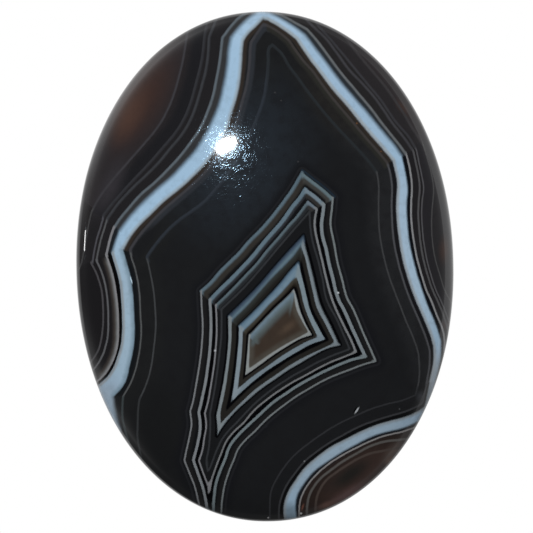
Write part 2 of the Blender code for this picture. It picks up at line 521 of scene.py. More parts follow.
# %% The tree: the flat grid, and the ring that each of its points is on
def step(operation, *values):
    return maths(cutting, operation, *values)


def point_position():
    """Where each point is at that stage, as its X, Y and Z."""
    position = place(cutting, "GeometryNodeInputPosition").outputs[0]
    return place(cutting, "ShaderNodeSeparateXYZ", {0: position}).outputs


back_end = given["Back Rings"]
bevel_end = step("ADD", back_end, given["Bevel Rings"])
girdle_end = step("ADD", bevel_end, given["Girdle Rings"])
dome_end = step("ADD", girdle_end, given["Dome Rings"])
flat_grid = {
    "Size X": 1.0,
    "Size Y": 1.0,
    "Vertices X": step("ADD", given["Steps Around"], 1.0),
    "Vertices Y": step("ADD", dome_end, 1.0),
}
grid = place(cutting, "GeometryNodeMeshGrid", flat_grid).outputs["Mesh"]
on_grid = point_position()
ring = step("MULTIPLY", step("ADD", on_grid["Y"], 0.5), dome_end)
tell(cutting, "the flat grid")

# %% The tree: the section, as a share of the outline's radius and a height
half_width = step("DIVIDE", given["Width"], 2.0)
half_length = step("DIVIDE", given["Length"], 2.0)
bevel_share = step("DIVIDE", given["Back Bevel"], half_width)
flat_share = step("SUBTRACT", 1.0, bevel_share)
across_back = stretch(cutting, ring, 0.0, back_end, 0.0, flat_share)
across_bevel = stretch(cutting, ring, back_end, bevel_end, 0.0, bevel_share)
lean = stretch(cutting, ring, girdle_end, dome_end, math.pi / 2, 0.0)
share = step("MULTIPLY", step("ADD", across_back, across_bevel), step("SINE", lean))

girdle_top = step("ADD", given["Back Bevel"], given["Girdle Height"])
dome_rise = step("SUBTRACT", given["Height"], girdle_top)
up_bevel = stretch(cutting, ring, back_end, bevel_end, 0.0, given["Back Bevel"])
up_girdle = stretch(cutting, ring, bevel_end, girdle_end, 0.0, given["Girdle Height"])
height = step("MULTIPLY_ADD", dome_rise, step("COSINE", lean), step("ADD", up_bevel, up_girdle))
tell(cutting, "the section")

# %% The tree: the oval, and the grid bent into the stone
angle = step("MULTIPLY", step("ADD", on_grid["X"], 0.5), math.tau)
cosine = step("COSINE", angle)
sine = step("SINE", angle)


def powered(direction, half):
    share_of_half = step("DIVIDE", step("ABSOLUTE", direction), half)
    return step("POWER", share_of_half, given["Oval Power"])


fullness = step("ADD", powered(cosine, half_width), powered(sine, half_length))
radius = step("POWER", fullness, step("DIVIDE", -1.0, given["Oval Power"]))
reach = step("MULTIPLY", share, radius)
on_stone_parts = {"X": step("MULTIPLY", reach, cosine), "Y": step("MULTIPLY", reach, sine), "Z": height}
point = place(cutting, "ShaderNodeCombineXYZ", on_stone_parts).outputs[0]
bent = place(cutting, "GeometryNodeSetPosition", {"Geometry": grid, "Position": point}).outputs[0]
seam = {"Geometry": bent, "Distance": MERGE_DISTANCE}
geometry = place(cutting, "GeometryNodeMergeByDistance", seam).outputs[0]
tell(cutting, "the closed stone")

# %% The tree: where each point would lie if the bands were followed up to the dome
on_surface = point_position()
depth = step("MAXIMUM", step("SUBTRACT", girdle_top, on_surface["Z"]), 0.0)
leaning = {0: given["Band Lean"], "Scale": depth}
shift = place(cutting, "ShaderNodeVectorMath", leaning, operation="SCALE").outputs[0]
seen_from_above = {"X": on_surface["X"], "Y": on_surface["Y"]}
flat = place(cutting, "ShaderNodeCombineXYZ", seen_from_above).outputs[0]
band_place = place(cutting, "ShaderNodeVectorMath", {0: flat, 1: shift}, operation="ADD").outputs[0]
tell(cutting, "the place in the bands")

# %% The tree: the distance to every line, and the place itself, both in millimetres
for name, curve in line_curves.items():
    to_line = {"Geometry": geometry, "Line": curve, "Name": name, "Place": band_place}
    geometry = place(cutting, "GeometryNodeGroup", to_line, node_tree=line_distance).outputs["Geometry"]
axes = place(cutting, "ShaderNodeSeparateXYZ", {0: band_place}).outputs
for name, axis in (("across", "X"), ("along", "Y")):
    geometry = store(cutting, geometry, name, step("MULTIPLY", axes[axis], MILLIMETRES))
tell(cutting, "the stored numbers")

# %% The tree: its output
whole = place(cutting, "GeometryNodeRealizeInstances", {"Geometry": geometry}).outputs[0]
finish = {"Geometry": whole, "Material": given["Material"]}
finished = place(cutting, "GeometryNodeSetMaterial", finish).outputs[0]
place(cutting, "NodeGroupOutput", {"Geometry": finished})
tell(cutting, "the whole tree")

# %% [markdown]
# ## Cutting the stone
#
# The tree does nothing until an object wears it as a modifier. Each size is handed to the input's own
# identifier, because a modifier doesn't know its inputs by name. The result is then kept as a plain
# mesh. A live modifier would stay adjustable, but a plain mesh is what other programs can take over.

# %% Sizes for the modifier
agate = bpy.data.materials.new("polished_agate")
agate.use_nodes = True
SETTINGS = {
    "Width": WIDTH,
    "Length": LENGTH,
    "Height": HEIGHT,
    "Girdle Height": GIRDLE_HEIGHT,
    "Back Bevel": BACK_BEVEL,
    "Oval Power": OVAL_POWER,
    "Steps Around": STEPS_AROUND,
    "Back Rings": BACK_RINGS,
    "Bevel Rings": BEVEL_RINGS,
    "Girdle Rings": GIRDLE_RINGS,
    "Dome Rings": DOME_RINGS,
    "Band Lean": (*BAND_LEAN, 0.0),
    "Material": agate,
}
print(f"{len(SETTINGS)} settings for the cut")

# %% Cut the stone
stone = bpy.data.objects.new("polished_cabochon", bpy.data.meshes.new("blank"))
bpy.context.scene.collection.objects.link(stone)
cut = stone.modifiers.new("cut", "NODES")
cut.node_group = cutting
identifiers = {item.name: item.identifier for item in cutting.interface.items_tree if item.in_out == "INPUT"}
for name, value in SETTINGS.items():
    cut[identifiers[name]] = value

graph = bpy.context.evaluated_depsgraph_get()
shape = bpy.data.meshes.new_from_object(stone.evaluated_get(graph))
stone.modifiers.remove(cut)
stone.data = shape
shape.name = "polished_cabochon"
for curve in line_curves.values():
    bpy.data.objects.remove(curve)
shape.shade_smooth()
shape.set_sharp_from_angle(angle=SHARP_ANGLE)
shape.calc_loop_triangles()
print(f"the stone has {len(shape.vertices)} points and {len(shape.loop_triangles)} triangles")

# %% [markdown]
# ## A map for the finish
#
# For the colours to be baked into one square picture, the surface needs a flat map. The face of the
# stone, dome and girdle, is peeled flat round the top of the dome, with equal lengths kept equal, so that
# bands near the steep rim keep their detail. The plain back and its bevel get a smaller place.

# %% Two ovals on the map: the middle of each, and half of its sizes
FACE_ON_MAP = (0.42, 0.69, 0.40, 0.30)
BACK_ON_MAP = (0.28, 0.19, 0.25, 0.18)
STEPS_DOWN_DOME = 400


def oval_radius(angle):
    """Distance from the middle of the stone to its outline, in each direction."""
    across = np.abs(np.cos(angle) * 2 / WIDTH) ** OVAL_POWER
    along = np.abs(np.sin(angle) * 2 / LENGTH) ** OVAL_POWER
    return (across + along) ** (-1 / OVAL_POWER)


def walk_down_dome(share):
    """The way from the top of the dome to each point and to its foot, on the stone's average radius."""
    turns = np.linspace(0, math.pi / 2, STEPS_DOWN_DOME)
    average = (WIDTH + LENGTH) / 4
    dome = HEIGHT - GIRDLE_HEIGHT - BACK_BEVEL
    steps = np.hypot(np.diff(np.sin(turns)) * average, np.diff(np.cos(turns)) * dome)
    walked = np.concatenate([[0], np.cumsum(steps)])
    return np.interp(share, np.sin(turns), walked), walked[-1]


print(f"the way down the dome is {walk_down_dome(1.0)[1] * MILLIMETRES:.1f} mm")


# %% Peel the stone flat
def faces_of_back(mesh, points, corners):
    """For each corner of each face, whether that face belongs to the back or its bevel."""
    starts = np.empty(len(mesh.polygons), dtype=np.int64)
    mesh.polygons.foreach_get("loop_start", starts)
    corners_of_face = np.diff(np.append(starts, len(corners)))
    heights = np.add.reduceat(points[corners, 2], starts) / corners_of_face
    return np.repeat(heights < BACK_BEVEL, corners_of_face)


def peel(mesh):
    points = np.empty(len(mesh.vertices) * 3)
    mesh.vertices.foreach_get("co", points)
    points = points.reshape(-1, 3)
    corners = np.empty(len(mesh.loops), dtype=np.int64)
    mesh.loops.foreach_get("vertex_index", corners)

    angle = np.arctan2(points[:, 1], points[:, 0])
    share = np.hypot(points[:, 0], points[:, 1]) / oval_radius(angle)
    down_dome, whole_dome = walk_down_dome(share)
    down_girdle = np.clip(GIRDLE_HEIGHT + BACK_BEVEL - points[:, 2], 0, GIRDLE_HEIGHT)
    face_share = (down_dome + down_girdle) / (whole_dome + GIRDLE_HEIGHT)

    is_back = faces_of_back(mesh, points, corners)
    out = np.where(is_back, share[corners], face_share[corners])
    middle_u, middle_v, half_u, half_v = np.where(is_back[:, None], BACK_ON_MAP, FACE_ON_MAP).T
    u = middle_u + half_u * out * np.sin(angle[corners])
    v = middle_v + half_v * out * np.cos(angle[corners]) * np.where(is_back, 1, -1)
    places = np.column_stack([u, v])
    mesh.uv_layers.new(name="OFBake").data.foreach_set("uv", places.astype(np.float32).ravel())
    return places


flat_map = peel(shape)
print(f"the map runs from {flat_map.min(axis=0).round(3)} to {flat_map.max(axis=0).round(3)}")

# %% [markdown]
# ## Colours of the agate
#
# The stone is nearly black, a smoky chalcedony. Its bands are cool grey to pale blue where they are
# milky, and brown where a little iron stains the clear layers between them. Colours are written from 0
# to 255, as a colour picker shows them, and turned into the linear values that light calculations need.

# %% From picked colours to linear ones
def colour(red, green, blue):
    """The linear colour, with its alpha, of a picked one."""
    shares = [part / 255 for part in (red, green, blue)]
    linear = [s / 12.92 if s <= 0.04045 else ((s + 0.055) / 1.055) ** 2.4 for s in shares]
    return (*linear, 1.0)


SMOKE = (29, 30, 31)
DEEP_SMOKE = (27, 28, 30)
JET = (3, 3, 5)
MILK_BLUE = (156, 186, 211)
print("smoke is", [round(part, 4) for part in colour(*SMOKE)], "and milk", colour(*MILK_BLUE)[:3])

# %% [markdown]
# ## Masks that bands and stains share
#
# Every band is made the same way: it begins at one depth inside its growth line and ends at another, and
# each end is crisp or soft. Every stain is a soft oval. Both masks are node groups with named inputs, so
# the material only says where and how soft.

# %% A band mask
def band_mask_group():
    group = bpy.data.node_groups.new("band_mask", "ShaderNodeTree")
    add_sockets(group, "Float", "Distance", "Start", "End", "Start Softness", "End Softness")
    add_sockets(group, "Float", "Mask", in_out="OUTPUT")
    given = place(group, "NodeGroupInput").outputs

    def passed(edge, softness):
        """Goes from 0 to 1 round one edge."""
        half = maths(group, "MULTIPLY", given[softness], 0.5)
        before = maths(group, "SUBTRACT", given[edge], half)
        after = maths(group, "ADD", given[edge], half)
        return stretch(group, given["Distance"], before, after, interpolation_type="SMOOTHSTEP")

    still_inside = maths(group, "SUBTRACT", 1.0, passed("End", "End Softness"))
    mask = maths(group, "MULTIPLY", passed("Start", "Start Softness"), still_inside)
    place(group, "NodeGroupOutput", {"Mask": mask})
    return group


band_mask = band_mask_group()
print(f"{band_mask.name} has {len(band_mask.nodes)} nodes")


# %% A stain mask
def stain_mask_group():
    group = bpy.data.node_groups.new("stain_mask", "ShaderNodeTree")
    add_sockets(group, "Float", "Across", "Along", "Middle Across", "Middle Along")
    add_sockets(group, "Float", "Half Length", "Half Width", "Turn", "Soft From")
    add_sockets(group, "Float", "Mask", in_out="OUTPUT")
    given = place(group, "NodeGroupInput").outputs
    right = maths(group, "SUBTRACT", given["Across"], given["Middle Across"])
    up = maths(group, "SUBTRACT", given["Along"], given["Middle Along"])
    cosine = maths(group, "COSINE", given["Turn"])
    sine = maths(group, "SINE", given["Turn"])

    def share_of(first, first_part, second, second_part, operation, half):
        """How far a point lies along one of the oval's own axes, where its rim is at 1."""
        first_step = maths(group, "MULTIPLY", first, first_part)
        second_step = maths(group, "MULTIPLY", second, second_part)
        return maths(group, "DIVIDE", maths(group, operation, first_step, second_step), given[half])

    lengthways = share_of(right, cosine, up, sine, "ADD", "Half Length")
    sideways = share_of(up, cosine, right, sine, "SUBTRACT", "Half Width")
    sideways_squared = maths(group, "MULTIPLY", sideways, sideways)
    away = maths(group, "SQRT", maths(group, "MULTIPLY_ADD", lengthways, lengthways, sideways_squared))
    beyond = stretch(group, away, given["Soft From"], 1.0, interpolation_type="SMOOTHSTEP")
    place(group, "NodeGroupOutput", {"Mask": maths(group, "SUBTRACT", 1.0, beyond)})
    return group


stain_mask = stain_mask_group()
print(f"{stain_mask.name} has {len(stain_mask.nodes)} nodes")

# %% Short names for the material's own steps
look = agate.node_tree
surface = look.nodes["Principled BSDF"]


def calc(operation, *values):
    return maths(look, operation, *values)


def over(below, above, mask):
    """The colour above laid over the colour below where the mask is 1."""
    return place(look, "ShaderNodeMix", {0: mask, 6: below, 7: above}, data_type="RGBA").outputs[2]


def noise(across, detail=2.0):
    """A cloudy pattern whose lumps are about so many metres across."""
    spot = place(look, "ShaderNodeTexCoord").outputs["Object"]
    values = {"Vector": spot, "Scale": 1.0 / across, "Detail": detail}
    return place(look, "ShaderNodeTexNoise", values).outputs["Fac"]


tell(look, "the empty material")

# %% [markdown]
# ## Growth wavers
#
# Layers that grew one on another are never drawn with a ruler. A slow, slight noise is added to every
# distance, so that the lines waver by a few hundredths of a millimetre together, as their growth did.

# %% Where each point lies among the bands, in millimetres
def kept_number(name):
    return place(look, "ShaderNodeAttribute", attribute_name=name).outputs["Fac"]


def in_millimetres(picture_point):
    """A point of the picture in the same numbers as the stored places."""
    return [length * MILLIMETRES for length in on_stone(*picture_point)]


ACROSS = kept_number("across")
ALONG = kept_number("along")
print("the middle of the stone lies at", in_millimetres(STONE_MIDDLE), "mm")

# %% Distances with a slight waver
WAVER = 0.05
WAVER_LENGTH = 0.0012
waver = calc("MULTIPLY", calc("SUBTRACT", noise(WAVER_LENGTH), 0.5), WAVER)
DISTANCES = {name: calc("ADD", kept_number(name), waver) for name in OUTLINES}


def band(line, start, end, start_softness=0.08, end_softness=0.08):
    """1 between two depths inside a growth line, in millimetres."""
    ends = {
        "Distance": DISTANCES[line],
        "Start": start,
        "End": end,
        "Start Softness": start_softness,
        "End Softness": end_softness,
    }
    return place(look, "ShaderNodeGroup", ends, node_tree=band_mask).outputs["Mask"]


def stain(across, down, half_length, half_width, turn=0.0, soft_from=0.0):
    """A soft oval round a point of the picture: its half sizes in pixels, its turn in degrees."""
    middle = in_millimetres((across, down))
    ends = {
        "Across": ACROSS,
        "Along": ALONG,
        "Middle Across": middle[0],
        "Middle Along": middle[1],
        "Half Length": half_length * PIXEL * MILLIMETRES,
        "Half Width": half_width * PIXEL * MILLIMETRES,
        "Turn": math.radians(turn),
        "Soft From": soft_from,
    }
    return place(look, "ShaderNodeGroup", ends, node_tree=stain_mask).outputs["Mask"]


tell(look, "the distances")

# %% [markdown]
# ## Flanks
#
# On each flank the layers meet the polished surface at another angle. Where they lie flat, a band is cut
# into a broad ribbon that fades inwards, and where they stand steep it is a fine line. The corners of
# neighbouring lines lie on straight seams, so a flank is the area between a few such seams.

# %% Seams, each from one point of the picture to another
OUTER_LEFT = ((60, 183), (125, 236))
SHOULDER = ((80, 268), (130, 245))
INNER_LEFT = ((110, 246), (201, 280))
RIGHT = ((333, 202), (470, 110))
UPRIGHT = ((268, 500), (268, 0))
LOW_RIGHT = ((444, 380), (220, 440))
LOW_LEFT = ((262, 397), (60, 397))
TAIL = ((250, 0), (250, 500))

EYE_LEFT_CORNERS = ((201, 291), (250.4, 336))
EYE_TOP_CORNERS = ((309.7, 211.3), (302, 172))
EYE_TIP_CORNERS = ((293.6, 291), (309.7, 211.3))
EYE_SHOULDER_CORNERS = ((309.7, 211.3), (333, 197.7))
EYE_RIGHT_CORNERS = ((308.5, 331.8), (376, 360.8))
EYE_TAIL_CORNERS = ((249, 368.2), (216.7, 435.7))
EYE_TAIL_TIP = ((216.7, 435.7), (209, 490))
EYE_MIDDLE = ((258, 343), (300, 322))


def turned(seam):
    return seam[1], seam[0]


print(f"the seam at the eye's tip is {math.dist(*EYE_TOP_CORNERS) * PIXEL * MILLIMETRES:.1f} mm long")

# %% Each flank lies to the left of all its seams, as one walks along them
SEAMS_OF_FLANKS = {
    "upper left": (OUTER_LEFT, UPRIGHT),
    "inner upper left": (INNER_LEFT, UPRIGHT),
    "upper right": (RIGHT, turned(UPRIGHT)),
    "right": (turned(RIGHT), turned(LOW_RIGHT), turned(UPRIGHT)),
    "low right": (LOW_RIGHT, TAIL),
    "shoulder": (turned(OUTER_LEFT), SHOULDER),
    "left": (turned(SHOULDER), turned(TAIL)),
    "inner left": (turned(INNER_LEFT), turned(LOW_LEFT), turned(TAIL)),
    "low left": (LOW_LEFT, turned(TAIL)),
    "eye upper left": (EYE_LEFT_CORNERS, EYE_TOP_CORNERS, EYE_TIP_CORNERS, EYE_MIDDLE),
    "eye top": (turned(EYE_TOP_CORNERS), EYE_SHOULDER_CORNERS),
    "eye right": (turned(EYE_SHOULDER_CORNERS), turned(EYE_TIP_CORNERS), EYE_RIGHT_CORNERS),
    "eye bottom": (turned(EYE_RIGHT_CORNERS), EYE_TAIL_CORNERS, EYE_TAIL_TIP, turned(EYE_MIDDLE)),
}
SEAM_SOFTNESS = 0.20


def left_of(seam):
    """1 on the left of a seam and 0 on its right, with a soft step between."""
    start, end = (Vector(in_millimetres(point)) for point in seam)
    left = Vector((start.y - end.y, end.x - start.x)).normalized()
    reach = calc("MULTIPLY_ADD", ACROSS, left.x, calc("MULTIPLY", ALONG, left.y))
    level = left.dot(start)
    return stretch(look, reach, level - SEAM_SOFTNESS, level, interpolation_type="SMOOTHSTEP")


FLANKS = {}
for name, seams in SEAMS_OF_FLANKS.items():
    FLANKS[name] = left_of(seams[0])
    for seam in seams[1:]:
        FLANKS[name] = calc("MULTIPLY", FLANKS[name], left_of(seam))

# The eye's left flank goes round the bend of its tail, so it lies to the left of either of those seams
beside_tail = calc("MAXIMUM", left_of(turned(EYE_TAIL_CORNERS)), left_of(turned(EYE_TAIL_TIP)))
FLANKS["eye left"] = calc("MULTIPLY", left_of(turned(EYE_LEFT_CORNERS)), beside_tail)
print(f"{len(FLANKS)} flanks")


# %% A layer is a band on one flank
def lay(below, line, layers):
    """Lays bands of one growth line over what is below.

    Each layer gives its flank, its colour, the depths where it starts and ends and how soft each end is,
    all in millimetres inside the line.
    """
    for where, tint, start, end, start_softness, end_softness in layers:
        mask = band(line, start, end, start_softness, end_softness)
        if where != "everywhere":
            mask = calc("MULTIPLY", mask, FLANKS[where])
        below = over(below, colour(*tint), mask)
    return below


# Deeper inside a line, in millimetres, than any point of the stone
FAR = 50.0


# %% A dab is a soft oval of one colour
def dab(below, dabs):
    """Lays soft ovals over what is below. Each gives its colour and then what a stain needs."""
    for tint, *oval in dabs:
        below = over(below, colour(*tint), stain(*oval))
    return below


tell(look, "the flanks")

# %% [markdown]
# ## The smoky body
#
# Even the darkest stone isn't one colour. Its smoke is a little denser at the lower right, warmer at the
# upper right, and cloudy everywhere. Those tones lie under all the bands. The bluish tone at the upper left
# is painted sheen: the lamp's hazy glow round its spot of light, laid into the colour.

# %% The body between the bands
CLOUD_SIZE = 0.0009
body = dab(colour(*SMOKE), [((35, 36, 38), 390, 260, 120, 230, 12, 0.3)])
body = over(body, colour(*DEEP_SMOKE), band("inner_line_2", 0.8, FAR, 1.4))
body = dab(body, [
    (DEEP_SMOKE, 330, 455, 150, 75, 25, 0.4),
    ((25, 26, 27), 160, 430, 36, 70, 0, 0.3),
    # Painted sheen: the bluish haze round the lamp's spot of light, laid into the colour at the upper left.
    ((35, 40, 46), 240, 158, 95, 120, -30, 0.2),
    ((36, 35, 34), 335, 100, 30, 70, 38, 0.3),
])
clouds = calc("MULTIPLY_ADD", noise(CLOUD_SIZE, 4.0), 1.6, 0.1)
body = over(colour(24, 24, 26), body, clouds)
tell(look, "the body")

# %% The body outside the white band, and beyond its last grey line
face = lay(body, "white_outer", [
    ("everywhere", (33, 32, 34), -FAR, 0.0, 0.1, 0.1),
    ("left", (27, 26, 28), -FAR, 0.0, 0.1, 0.1),
    ("upper right", (38, 37, 38), -FAR, 0.0, 0.1, 0.1),
    ("low right", (42, 34, 31), -FAR, -0.3, 0.1, 0.3),
])
face = lay(face, "outer_line_3", [
    ("upper left", (37, 35, 37), -FAR, 0.0, 0.1, 0.1),
    ("upper left", (29, 29, 32), -0.90, 0.0, 0.70, 0.1),
    ("upper right", (42, 40, 42), -FAR, 0.0, 0.1, 0.1),
    ("right", (39, 38, 41), -FAR, 0.0, 0.1, 0.1),
])
face = lay(face, "outer_line_4", [
    ("upper left", (42, 39, 41), -FAR, 0.0, 0.1, 0.1),
    ("upper right", (44, 40, 42), -FAR, 0.0, 0.1, 0.1),
    ("right", (42, 41, 43), -FAR, 0.0, 0.1, 0.1),
])
tell(look, "the body outside the white band")

# %% [markdown]
# ## Iron stains
#
# Near the rim on the upper left, at the right and in the lower right corner, iron has stained the stone
# red-brown, and it looks a little clearer there. The stains could be painted with a brush, but soft ovals
# need no picture. They lie under the grey lines, which pass over them unchanged.

# %% Stains, each with its colour, its middle, its half sizes, its turn and how soft it is
face = dab(face, [
    ((58, 43, 39), 143, 98, 78, 33, 60, 0.0),
    ((72, 53, 46), 129, 116, 44, 19, 62, 0.0),
    ((50, 48, 52), 110, 188, 48, 16, 62, 0.0),
    ((62, 48, 44), 444, 250, 20, 8, 86, 0.0),
    ((56, 42, 42), 446, 325, 8, 6, 0, 0.0),
    ((60, 46, 42), 402, 108, 16, 6, -52, 0.0),
    ((62, 48, 44), 358, 478, 62, 25, 37, 0.3),
    ((104, 78, 78), 350, 499, 40, 15, 30, 0.0),
    ((82, 70, 64), 395, 452, 22, 12, 40, 0.0),
    ((100, 80, 70), 390, 461, 9, 6, 50, 0.0),
    ((96, 70, 62), 328, 505, 16, 6, 18, 0.0),
    ((36, 34, 32), 350, 474, 38, 13, 34, 0.1),
])
tell(look, "the stains")

# %% [markdown]
# ## Lines outside the white band
#
# Four grey lines follow the white band on its outer side. The nearest is the brightest. On the upper
# left they are broad and soft, on the right fine and sharp. On the lower left the nearest one fades
# outwards into a pale cloud and ends crisply against a black layer.

# %% The three faint outer lines
face = lay(face, "outer_line_4", [
    ("upper left", (58, 57, 61), -0.06, 0.10, 0.12, 0.12),
    ("shoulder", (33, 31, 32), -FAR, -0.02, 0.3, 0.08),
    ("shoulder", (66, 66, 67), -0.05, 0.05, 0.08, 0.08),
    ("right", (73, 73, 74), -0.03, 0.06, 0.08, 0.08),
    ("upper right", (58, 56, 58), -0.05, 0.14, 0.12, 0.14),
])
face = lay(face, "outer_line_3", [
    ("upper left", (50, 51, 55), -0.04, 0.14, 0.10, 0.24),
    ("shoulder", (74, 74, 79), 0.0, 0.13, 0.08, 0.08),
    ("left", (72, 71, 74), -0.10, 0.03, 0.08, 0.08),
    ("right", (82, 82, 85), -0.02, 0.08, 0.08, 0.08),
    ("upper right", (56, 56, 60), -0.05, 0.12, 0.10, 0.12),
    ("low right", (72, 63, 59), -0.10, 0.08, 0.12, 0.10),
])
face = lay(face, "outer_line_2", [
    ("upper left", (57, 59, 63), -0.03, 0.15, 0.12, 0.20),
    ("shoulder", (82, 83, 85), -0.02, 0.11, 0.08, 0.08),
    ("left", (90, 91, 94), -0.08, 0.055, 0.08, 0.08),
    ("right", (80, 80, 82), -0.02, 0.12, 0.08, 0.08),
    ("upper right", (62, 62, 66), -0.03, 0.15, 0.12, 0.14),
    ("low right", (86, 84, 82), -0.11, 0.07, 0.10, 0.10),
])
tell(look, "the three faint outer lines")

# %% The cloud outside the nearest line, browner on its outer side
paling = over(colour(80, 74, 70), colour(114, 118, 120), band("outer_line_1", -0.18, FAR, 0.3))
cloud = calc("MULTIPLY", band("outer_line_1", -0.30, 0.02, 0.56, 0.06), stain(112, 320, 40, 66, 0, 0.85))
face = over(face, paling, cloud)
tell(look, "the pale cloud")

# %% The nearest outer line, with the black layer inside it
face = lay(face, "outer_line_1", [
    ("upper left", (50, 51, 53), 0.10, 0.60, 0.10, 0.10),
    ("shoulder", (29, 33, 37), 0.08, 0.60, 0.08, 0.10),
    ("left", (7, 7, 8), 0.03, 0.60, 0.08, 0.10),
    ("right", (13, 16, 21), 0.05, 0.60, 0.08, 0.10),
    ("upper right", (43, 48, 53), 0.10, 0.60, 0.10, 0.10),
    ("low right", (26, 30, 35), 0.02, 0.60, 0.08, 0.10),
    ("upper left", (89, 98, 105), -0.03, 0.16, 0.12, 0.16),
    ("shoulder", (122, 122, 126), -0.05, 0.13, 0.08, 0.06),
    ("left", (126, 126, 129), -0.085, 0.055, 0.08, 0.06),
    ("right", (134, 135, 137), -0.04, 0.10, 0.08, 0.06),
    ("upper right", (99, 103, 106), -0.02, 0.16, 0.12, 0.14),
    ("low right", (134, 132, 132), -0.07, 0.05, 0.08, 0.06),
])
tell(look, "the nearest outer line")

# %% [markdown]
# ## The white band
#
# The band that frames the stone is milky chalcedony, pale blue because it scatters blue light most. It
# starts softly on the upper flanks and turns greyer towards its inner edge. Laid flank by flank, one over
# the other, it would show a notch where two soft masks meet at a corner. So the masks are joined first,
# by taking the larger one, and the band is laid once. Then everything inside its inner edge is laid over
# it again.

# %% The milky colour, a little different from side to side
white = dab(colour(*MILK_BLUE), [
    ((156, 184, 208), 330, 90, 120, 60, -50, 0.5),
    ((166, 194, 218), 268, 28, 46, 34, 0, 0.3),
    ((153, 177, 195), 118, 320, 90, 34, 90, 0.5),
    ((150, 170, 188), 110, 410, 44, 30, 90, 0.4),
    ((162, 186, 206), 412, 260, 120, 50, 90, 0.5),
    ((155, 170, 183), 437, 385, 46, 26, 80, 0.3),
    ((146, 167, 184), 350, 455, 100, 50, 32, 0.5),
    ((122, 143, 159), 288, 512, 18, 14, 0, 0.2),
])
tell(look, "the milk")

# %% White band: where it starts on each flank, and how softly
WHITE_STARTS = [
    ("upper left", 0.12, 0.52),
    ("upper right", 0.09, 0.42),
    ("shoulder", 0.10, 0.36),
    ("left", 0.045, 0.14),
    ("right", 0.075, 0.22),
    ("low right", 0.075, 0.24),
]
cover = 0.0
for where, start, softness in WHITE_STARTS:
    here = calc("MULTIPLY", band("white_outer", start, FAR, softness), FLANKS[where])
    cover = calc("MAXIMUM", here, cover)
face = over(face, white, cover)
tell(look, "the white band")

# %% Its greyer edges
face = lay(face, "white_outer", [("left", (138, 145, 150), 0.045, 0.22, 0.14, 0.24)])
face = lay(face, "white_inner", [
    ("inner upper left", (147, 162, 173), -0.18, FAR, 0.30, 0.1),
    ("upper right", (154, 165, 173), -0.20, FAR, 0.26, 0.1),
    ("inner left", (126, 149, 165), -0.28, FAR, 0.40, 0.1),
    ("low left", (146, 164, 180), -0.16, FAR, 0.36, 0.1),
    ("right", (150, 160, 168), -0.20, FAR, 0.26, 0.1),
    ("low right", (132, 142, 149), -0.20, FAR, 0.30, 0.1),
])
tell(look, "its greyer edges")

# %% Inside the white band: the clear layer next to it on each flank, then the body again
CLEAR_LAYERS = [
    ("inner upper left", (48, 42, 38), 0.01, 0.22),
    ("upper right", (47, 42, 38), 0.035, 0.20),
    ("inner left", (19, 22, 25), -0.03, 0.16),
    ("low left", (25, 27, 30), -0.10, 0.46),
    ("right", (23, 23, 26), 0.0, 0.15),
    ("low right", (12, 13, 14), -0.02, 0.14),
]
for where, tint, start, softness in CLEAR_LAYERS:
    inside = calc("MULTIPLY", band("white_inner", start, FAR, softness), FLANKS[where])
    body_here = over(colour(*tint), body, band("white_inner", 0.34, FAR, 0.30))
    face = over(face, body_here, inside)
tell(look, "inside the white band")

# %% [markdown]
# ## Echoes of the white band
#
# Two fainter lines follow the white band on its inner side. On the upper flanks they fade inwards over
# half a millimetre. Everywhere else they are as fine as hairs.

# %% The glow inside the first line, which stops before the line's left corner
face = lay(face, "inner_line_1", [
    ("inner upper left", (44, 47, 52), 0.05, 0.44, 0.10, 0.22),
    ("upper right", (42, 42, 39), 0.05, 0.40, 0.10, 0.30),
])
face = dab(face, [(DEEP_SMOKE, 143, 244, 32, 9, 50, 0.4)])
tell(look, "the glow inside the first line")

# %% The two faint inner lines
face = lay(face, "inner_line_1", [
    ("inner upper left", (59, 59, 63), -0.08, 0.12, 0.12, 0.14),
    ("upper right", (60, 57, 56), -0.07, 0.12, 0.10, 0.12),
    ("inner left", (82, 84, 85), -0.06, 0.055, 0.08, 0.08),
    ("low left", (58, 65, 67), -0.08, 0.08, 0.12, 0.12),
    ("right", (74, 75, 79), -0.05, 0.09, 0.08, 0.10),
    ("low right", (54, 55, 58), -0.05, 0.09, 0.08, 0.10),
])
face = lay(face, "inner_line_2", [
    ("inner upper left", (45, 50, 57), -0.07, 0.14, 0.12, 0.24),
    ("upper right", (40, 44, 47), -0.07, 0.13, 0.12, 0.20),
    ("inner left", (62, 64, 66), -0.06, 0.06, 0.08, 0.08),
    ("low left", (51, 53, 55), -0.07, 0.07, 0.10, 0.10),
    ("right", (61, 62, 64), -0.05, 0.07, 0.08, 0.08),
    ("low right", (46, 47, 50), -0.05, 0.07, 0.08, 0.08),
])
tell(look, "the two faint inner lines")

# %% [markdown]
# ## The eye
#
# The middle of the agate is a fortress of thin rings. Each ring begins crisply on its outer side. On the
# two upper flanks it fades inwards, first to brown and then to jet black, as if the milk had run out while
# each layer grew. Every ring is a few layers of one growth line, the dark ones first and the milky one last.

